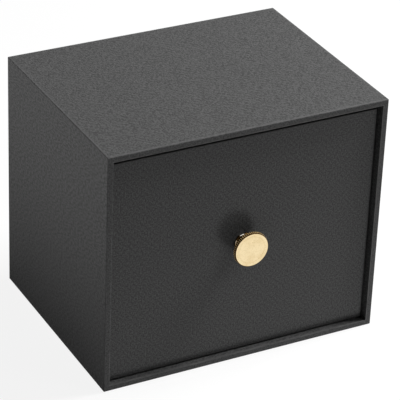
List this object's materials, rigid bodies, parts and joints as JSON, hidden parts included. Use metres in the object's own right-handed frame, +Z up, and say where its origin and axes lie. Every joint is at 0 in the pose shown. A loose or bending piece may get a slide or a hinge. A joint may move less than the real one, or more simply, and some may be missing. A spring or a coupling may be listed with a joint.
{
  "type": "drawer photo box",
  "caption": "Open-fronted case of paper-covered board with one pull-out tray drawer and a small fluted round knob, for keeping photo prints on a desk or shelf.",
  "frame": {"origin": "middle of the case's base, on the surface that the case stands on", "axes": "+Z up, the open front with the drawer and its knob faces -Y, +X is to the right seen from the front"},
  "size_m": [0.18, 0.1456, 0.154],
  "materials": {
    "cover_paper": "fine embossed grain, matt",
    "lining_paper": "smooth, matt",
    "infill_paper": "uncoated",
    "greyboard": "uncoated pressed board",
    "brass": "polished, lightly brushed face",
    "zinc_steel": "zinc plated"
  },
  "bodies": {
    "case": {"case_bottom_board": "greyboard", "case_top_board": "greyboard", "case_left_board": "greyboard", "case_right_board": "greyboard", "case_back_board": "greyboard", "case_wrap_paper": "cover_paper", "case_base_infill": "infill_paper", "case_base_paper": "cover_paper", "case_back_paper": "cover_paper", "case_lining_paper": "lining_paper", "case_back_lining": "lining_paper"},
    "drawer": {"drawer_front_board": "greyboard", "drawer_back_board": "greyboard", "drawer_left_board": "greyboard", "drawer_right_board": "greyboard", "drawer_bottom_board": "greyboard", "drawer_wrap_paper": "cover_paper", "drawer_base_infill": "infill_paper", "drawer_base_paper": "cover_paper", "drawer_lining_paper": "lining_paper", "drawer_floor_lining": "lining_paper", "knob": "brass", "knob_washer": "zinc_steel", "knob_screw": "zinc_steel"}
  },
  "joints": [
    {"name": "drawer_slide", "type": "slide", "parent": "case", "child": "drawer", "axis": [0, -1, 0], "range_m": [0, 0.14]}
  ]
}
